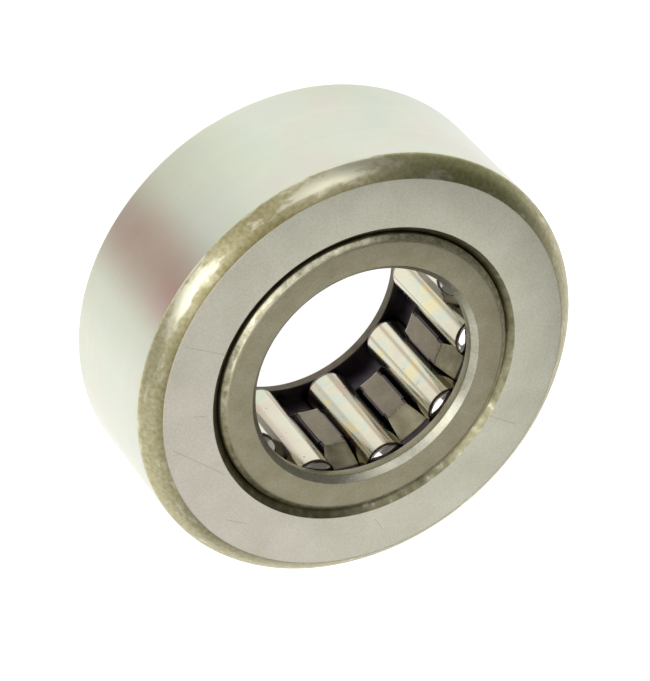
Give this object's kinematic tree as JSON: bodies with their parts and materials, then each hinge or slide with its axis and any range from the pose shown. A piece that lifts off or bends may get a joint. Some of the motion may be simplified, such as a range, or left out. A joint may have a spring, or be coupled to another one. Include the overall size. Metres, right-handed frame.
{
  "type": "cam follower roller",
  "caption": "Yoke-type track roller: a thick outer ring with chamfered rims turning on loose rollers held in a one-piece cage, with an open bore for a hardened shaft.",
  "frame": {"origin": "centre of the bore on the axis of rotation, halfway through the width", "axes": "+Z along the axis of rotation, out of the face that is seen; +X through the middle of roller_01; +Y completes the right-handed frame"},
  "size_m": [0.03, 0.03, 0.012],
  "materials": {
    "ring_steel": "ground bearing steel with olive-brown heat-treatment scale left on the turned chamfers",
    "cage_steel": "tumbled grey-olive steel, satin",
    "roller_steel": "polished bearing steel under a thin oil film"
  },
  "bodies": {
    "cage": {"cage": "cage_steel"},
    "outer_ring": {"outer_ring": "ring_steel"},
    "roller_01": {"roller_01": "roller_steel"},
    "roller_02": {"roller_02": "roller_steel"},
    "roller_03": {"roller_03": "roller_steel"},
    "roller_04": {"roller_04": "roller_steel"},
    "roller_05": {"roller_05": "roller_steel"},
    "roller_06": {"roller_06": "roller_steel"},
    "roller_07": {"roller_07": "roller_steel"},
    "roller_08": {"roller_08": "roller_steel"},
    "roller_09": {"roller_09": "roller_steel"},
    "roller_10": {"roller_10": "roller_steel"}
  },
  "joints": [
    {"name": "outer_ring_spin", "type": "hinge", "parent": "cage", "child": "outer_ring", "pos_m": [0, 0, 0], "axis": [0, 0, 1], "continuous": true},
    {"name": "roller_01_spin", "type": "hinge", "parent": "cage", "child": "roller_01", "pos_m": [0.0085, 0, 0], "axis": [0, 0, 1], "continuous": true},
    {"name": "roller_02_spin", "type": "hinge", "parent": "cage", "child": "roller_02", "pos_m": [0.00688, 0.005, 0], "axis": [0, 0, 1], "continuous": true},
    {"name": "roller_03_spin", "type": "hinge", "parent": "cage", "child": "roller_03", "pos_m": [0.00263, 0.00808, 0], "axis": [0, 0, 1], "continuous": true},
    {"name": "roller_04_spin", "type": "hinge", "parent": "cage", "child": "roller_04", "pos_m": [-0.00263, 0.00808, 0], "axis": [0, 0, 1], "continuous": true},
    {"name": "roller_05_spin", "type": "hinge", "parent": "cage", "child": "roller_05", "pos_m": [-0.00688, 0.005, 0], "axis": [0, 0, 1], "continuous": true},
    {"name": "roller_06_spin", "type": "hinge", "parent": "cage", "child": "roller_06", "pos_m": [-0.0085, 0, 0], "axis": [0, 0, 1], "continuous": true},
    {"name": "roller_07_spin", "type": "hinge", "parent": "cage", "child": "roller_07", "pos_m": [-0.00688, -0.005, 0], "axis": [0, 0, 1], "continuous": true},
    {"name": "roller_08_spin", "type": "hinge", "parent": "cage", "child": "roller_08", "pos_m": [-0.00263, -0.00808, 0], "axis": [0, 0, 1], "continuous": true},
    {"name": "roller_09_spin", "type": "hinge", "parent": "cage", "child": "roller_09", "pos_m": [0.00263, -0.00808, 0], "axis": [0, 0, 1], "continuous": true},
    {"name": "roller_10_spin", "type": "hinge", "parent": "cage", "child": "roller_10", "pos_m": [0.00688, -0.005, 0], "axis": [0, 0, 1], "continuous": true}
  ],
  "couplings": [
    {"joint": "roller_01_spin", "follows": "outer_ring_spin", "ratio": 6.6667},
    {"joint": "roller_02_spin", "follows": "outer_ring_spin", "ratio": 6.6667},
    {"joint": "roller_03_spin", "follows": "outer_ring_spin", "ratio": 6.6667},
    {"joint": "roller_04_spin", "follows": "outer_ring_spin", "ratio": 6.6667},
    {"joint": "roller_05_spin", "follows": "outer_ring_spin", "ratio": 6.6667},
    {"joint": "roller_06_spin", "follows": "outer_ring_spin", "ratio": 6.6667},
    {"joint": "roller_07_spin", "follows": "outer_ring_spin", "ratio": 6.6667},
    {"joint": "roller_08_spin", "follows": "outer_ring_spin", "ratio": 6.6667},
    {"joint": "roller_09_spin", "follows": "outer_ring_spin", "ratio": 6.6667},
    {"joint": "roller_10_spin", "follows": "outer_ring_spin", "ratio": 6.6667}
  ]
}
